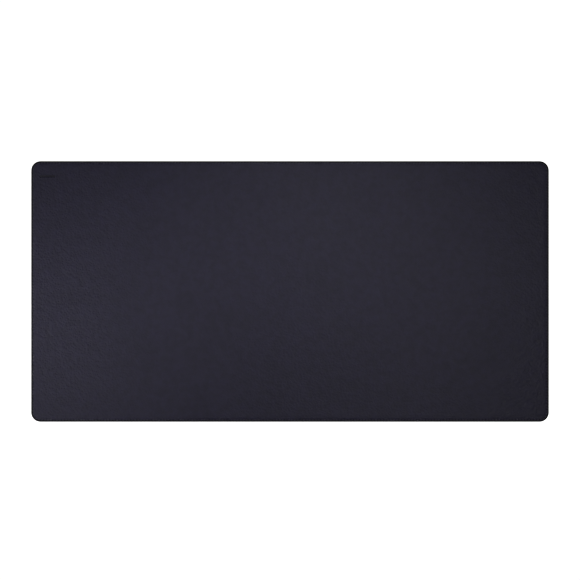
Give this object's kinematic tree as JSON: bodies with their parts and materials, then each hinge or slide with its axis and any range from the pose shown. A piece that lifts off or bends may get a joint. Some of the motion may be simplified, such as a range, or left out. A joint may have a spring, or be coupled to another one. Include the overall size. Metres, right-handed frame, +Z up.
{
  "type": "desk mat",
  "caption": "Flat rectangular desk mat with rounded corners: leather-look top, thin felt core, non-slip suede backing, stitched and painted edge.",
  "frame": {"origin": "on the desk, under the middle of the mat", "axes": "+X along the long side, +Y towards the far long side, +Z up out of the top face"},
  "size_m": [0.6, 0.302, 0.0025],
  "materials": {
    "skin": "satin",
    "glue": "satin",
    "core": "matte",
    "backing": "matte",
    "edge_paint": "satin",
    "thread": "satin"
  },
  "bodies": {
    "root": {"top_skin": "skin", "upper_glue_film": "glue", "core_sheet": "core", "lower_glue_film": "glue", "backing_sheet": "backing", "edge_paint": "edge_paint", "needle_thread": "thread", "bobbin_thread": "thread"}
  },
  "joints": []
}
